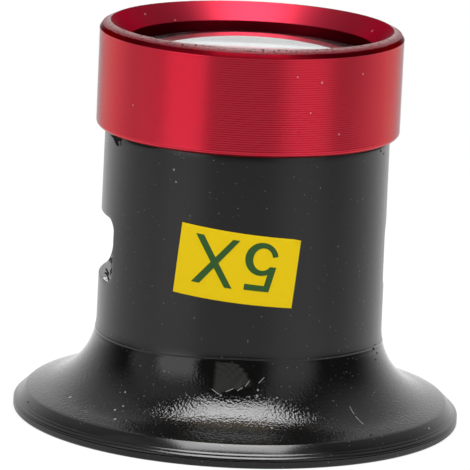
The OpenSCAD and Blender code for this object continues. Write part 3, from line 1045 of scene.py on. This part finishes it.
# %% [markdown]
# ## Floor, surroundings and lamps
# The photograph has a white table, a white surround that is darker on the camera's side, and a soft
# overhead light. The floor is white to the camera and keeps a faint shadow. Polished black and red show
# their surroundings, so reflections see more: two pale windows on the left of the camera, one on the right,
# a pale wall behind the loupe, and darkness between them. Each of the three rows of levels gives the dark
# and then the four pale areas, for the table, for what stands low and for what stands high.

# %% Floor
WINDOWS = [(-49, 16, 5), (-78, 13, 6), (45, 18, 10)]
BEHIND_TABLE, BEHIND_LOW, BEHIND_HIGH = (70, 150), (100, 160), (60, 140)
TABLE_LEVELS = (0.42, 0.14, 0.08, 0.17, 0.58)
LOW_LEVELS = (0.03, 1.25, 0.36, 0.56, 0.97)
HIGH_LEVELS = (0.03, 0.3, 0.27, 0.42, 0.4)
SKY_SOFT = 0.3
TABLE_GLOW = 0.86


def blend(tree, share, first, second):
    return node(tree, "Mix", {0: share, 2: first, 3: second}).outputs[0]


def window(tree, turn, centre, half, soft):
    """One inside a window of the surround, given its middle and half width in degrees."""
    away = maths(tree, "ABSOLUTE", maths(tree, "SUBTRACT", turn, centre))
    return ramp(tree, away, half - soft, half + soft, 1.0, 0.0)


def surround(tree, way, lift, high):
    """The surround's brightness in reflections, for lift from table to eye level and then high up."""
    split = node(tree, "SeparateXYZ", {0: way})
    turn = maths(tree, "ARCTAN2", split.outputs[0], times(tree, split.outputs[1], -1.0))
    turn = times(tree, turn, 180 / math.pi)
    windows = [window(tree, turn, *sizes) for sizes in WINDOWS]
    sums = []
    bands = ((BEHIND_TABLE, TABLE_LEVELS), (BEHIND_LOW, LOW_LEVELS), (BEHIND_HIGH, HIGH_LEVELS))
    for edges, (dark, *levels) in bands:
        total = dark
        for part, level in zip(windows + [ramp(tree, maths(tree, "ABSOLUTE", turn), *edges)], levels):
            total = plus(tree, total, times(tree, part, level))
        sums.append(total)
    return blend(tree, high, blend(tree, lift, sums[0], sums[1]), sums[2])


def seen(tree, *kinds):
    """One where the ray is of these kinds, from Light Path."""
    path = node(tree, "LightPath")
    total = path.outputs[kinds[0]]
    for kind in kinds[1:]:
        total = maths(tree, "MAXIMUM", total, path.outputs[kind])
    return total


nothing_selected()
bpy.ops.mesh.primitive_circle_add(vertices=96, radius=0.12, fill_type="NGON", location=(0, 0, 0))
floor = named("floor")
table = bpy.data.materials.new("floor_white")
tree = cleared(table)
matt = node(tree, "BsdfDiffuse", {"Color": (0.62, 0.62, 0.62, 1)})
shade = node(tree, "BsdfDiffuse", {"Color": (0.13, 0.13, 0.13, 1)})
spot = node(tree, "TexCoord").outputs["Object"]
far = ramp(tree, node(tree, "VectorMath", {0: spot}, operation="LENGTH").outputs["Value"], 0.06, 0.2)
mirrored = times(tree, surround(tree, spot, far, 0.0), TABLE_GLOW)
glow = node(tree, "Emission", {"Strength": mirrored})
plain_glow = node(tree, "Emission", {"Strength": TABLE_GLOW})
glossy = seen(tree, "Is Glossy Ray")
white = node(tree, "MixShader", {0: glossy, 1: plain_glow.outputs[0], 2: glow.outputs[0]})
white = node(tree, "AddShader", {0: white.outputs[0], 1: shade.outputs[0]})
view_ray = seen(tree, "Is Camera Ray", "Is Glossy Ray", "Is Transmission Ray")
both = node(tree, "MixShader", {0: view_ray, 1: matt.outputs[0], 2: white.outputs[0]})
node(tree, "OutputMaterial", {0: both.outputs[0]})
floor.data.materials.append(table)
print("floor staged")

# %% [markdown]
# ## The surround
# The camera, and what is seen through the glass, get plain white. Polished skins see the surround with its
# windows, and soft light from the surround gets weaker towards the top, where the lamps take over.

# %% World
world = bpy.data.worlds.new("surround")
bpy.context.scene.world = world
tree = cleared(world)
way = node(tree, "TexCoord").outputs["Generated"]
rise = node(tree, "SeparateXYZ", {0: way}).outputs[2]
shiny = surround(tree, way, ramp(tree, rise, -0.15, 0.03), ramp(tree, rise, 0.3, 0.7))
shiny = blend(tree, ramp(tree, rise, 0.8, 0.92), shiny, 0.05)
soft = blend(tree, ramp(tree, rise, 0.3, 0.5), 1.0, SKY_SOFT)
level = blend(tree, seen(tree, "Is Glossy Ray"), soft, shiny)
level = blend(tree, seen(tree, "Is Camera Ray", "Is Transmission Ray"), level, 1.0)
background = node(tree, "Background", {"Color": (1, 1, 1, 1), "Strength": level})
node(tree, "OutputWorld", {0: background.outputs[0]})
print("surround:", world.name)

# %% [markdown]
# ## The lamps
# Each lamp is an area light that the camera doesn't see. A lamp's shine is its power over pi and its area.
# The one overhead is a soft box with a brighter middle, as its reflection on the flare shows.

# %% Lamps
LAMPS_AIM = Vector((0, 0, 0.02))


def softbox(name, place, width, length, shine):
    data = bpy.data.lights.new(name, "AREA")
    data.shape = "RECTANGLE"
    data.size = width
    data.size_y = length
    data.energy = shine * math.pi * width * length
    lamp = bpy.data.objects.new(name, data)
    bpy.context.collection.objects.link(lamp)
    lamp.location = place
    lamp.rotation_euler = (LAMPS_AIM - Vector(place)).to_track_quat("-Z", "Y").to_euler()
    lamp.visible_camera = False
    print("lamp:", name)


softbox("overhead", (0, -0.15, 1.5), 1.05, 1.05, 6.6)
softbox("overhead_core", (0, -0.07, 1.49), 0.6, 0.6, 2.4)

# %% [markdown]
# ## Last lines
# The view transform is Standard, so colours come out as they are written.

# %% Finish
bpy.context.scene.view_settings.view_transform = "Standard"
